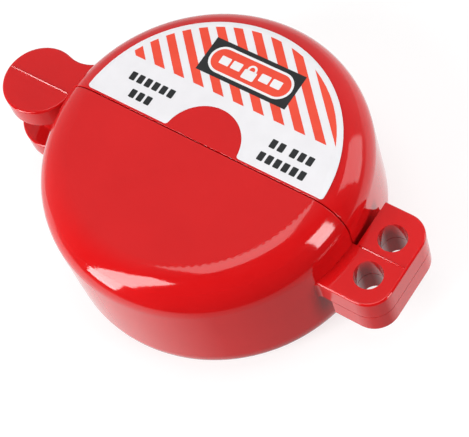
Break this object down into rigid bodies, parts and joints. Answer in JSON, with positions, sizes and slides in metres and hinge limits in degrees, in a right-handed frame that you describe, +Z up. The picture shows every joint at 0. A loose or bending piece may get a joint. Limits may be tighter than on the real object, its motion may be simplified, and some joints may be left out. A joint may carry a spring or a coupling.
{
  "type": "valve handwheel lockout cover",
  "caption": "Round clamshell lockout cover for a valve handwheel, hinged at one side and closed by a padlock tab at the other.",
  "frame": {"origin": "on the drum's axis, at the flat underside, in the middle of the stem opening", "axes": "+Z up along the drum's axis and the hinge pin, +X from the hinge towards the padlock tab, the halves meet in the plane y = 0 with the labelled half on +Y"},
  "size_m": [0.1681, 0.117, 0.0602],
  "materials": {
    "red_moulding": "smooth injection-moulded polypropylene or ABS, glossy shoulders and satin flat top",
    "pin_moulding": "moulded plastic",
    "label_film": "printed self-adhesive film, satin"
  },
  "bodies": {
    "front": {"front_half": "red_moulding", "hinge_pin": "pin_moulding"},
    "rear": {"rear_half": "red_moulding", "label": "label_film"}
  },
  "joints": [
    {"name": "clamshell_hinge", "type": "hinge", "parent": "front", "child": "rear", "pos_m": [-0.0744, 0, 0.03], "axis": [0, 0, 1], "range_deg": [0, 240]}
  ]
}
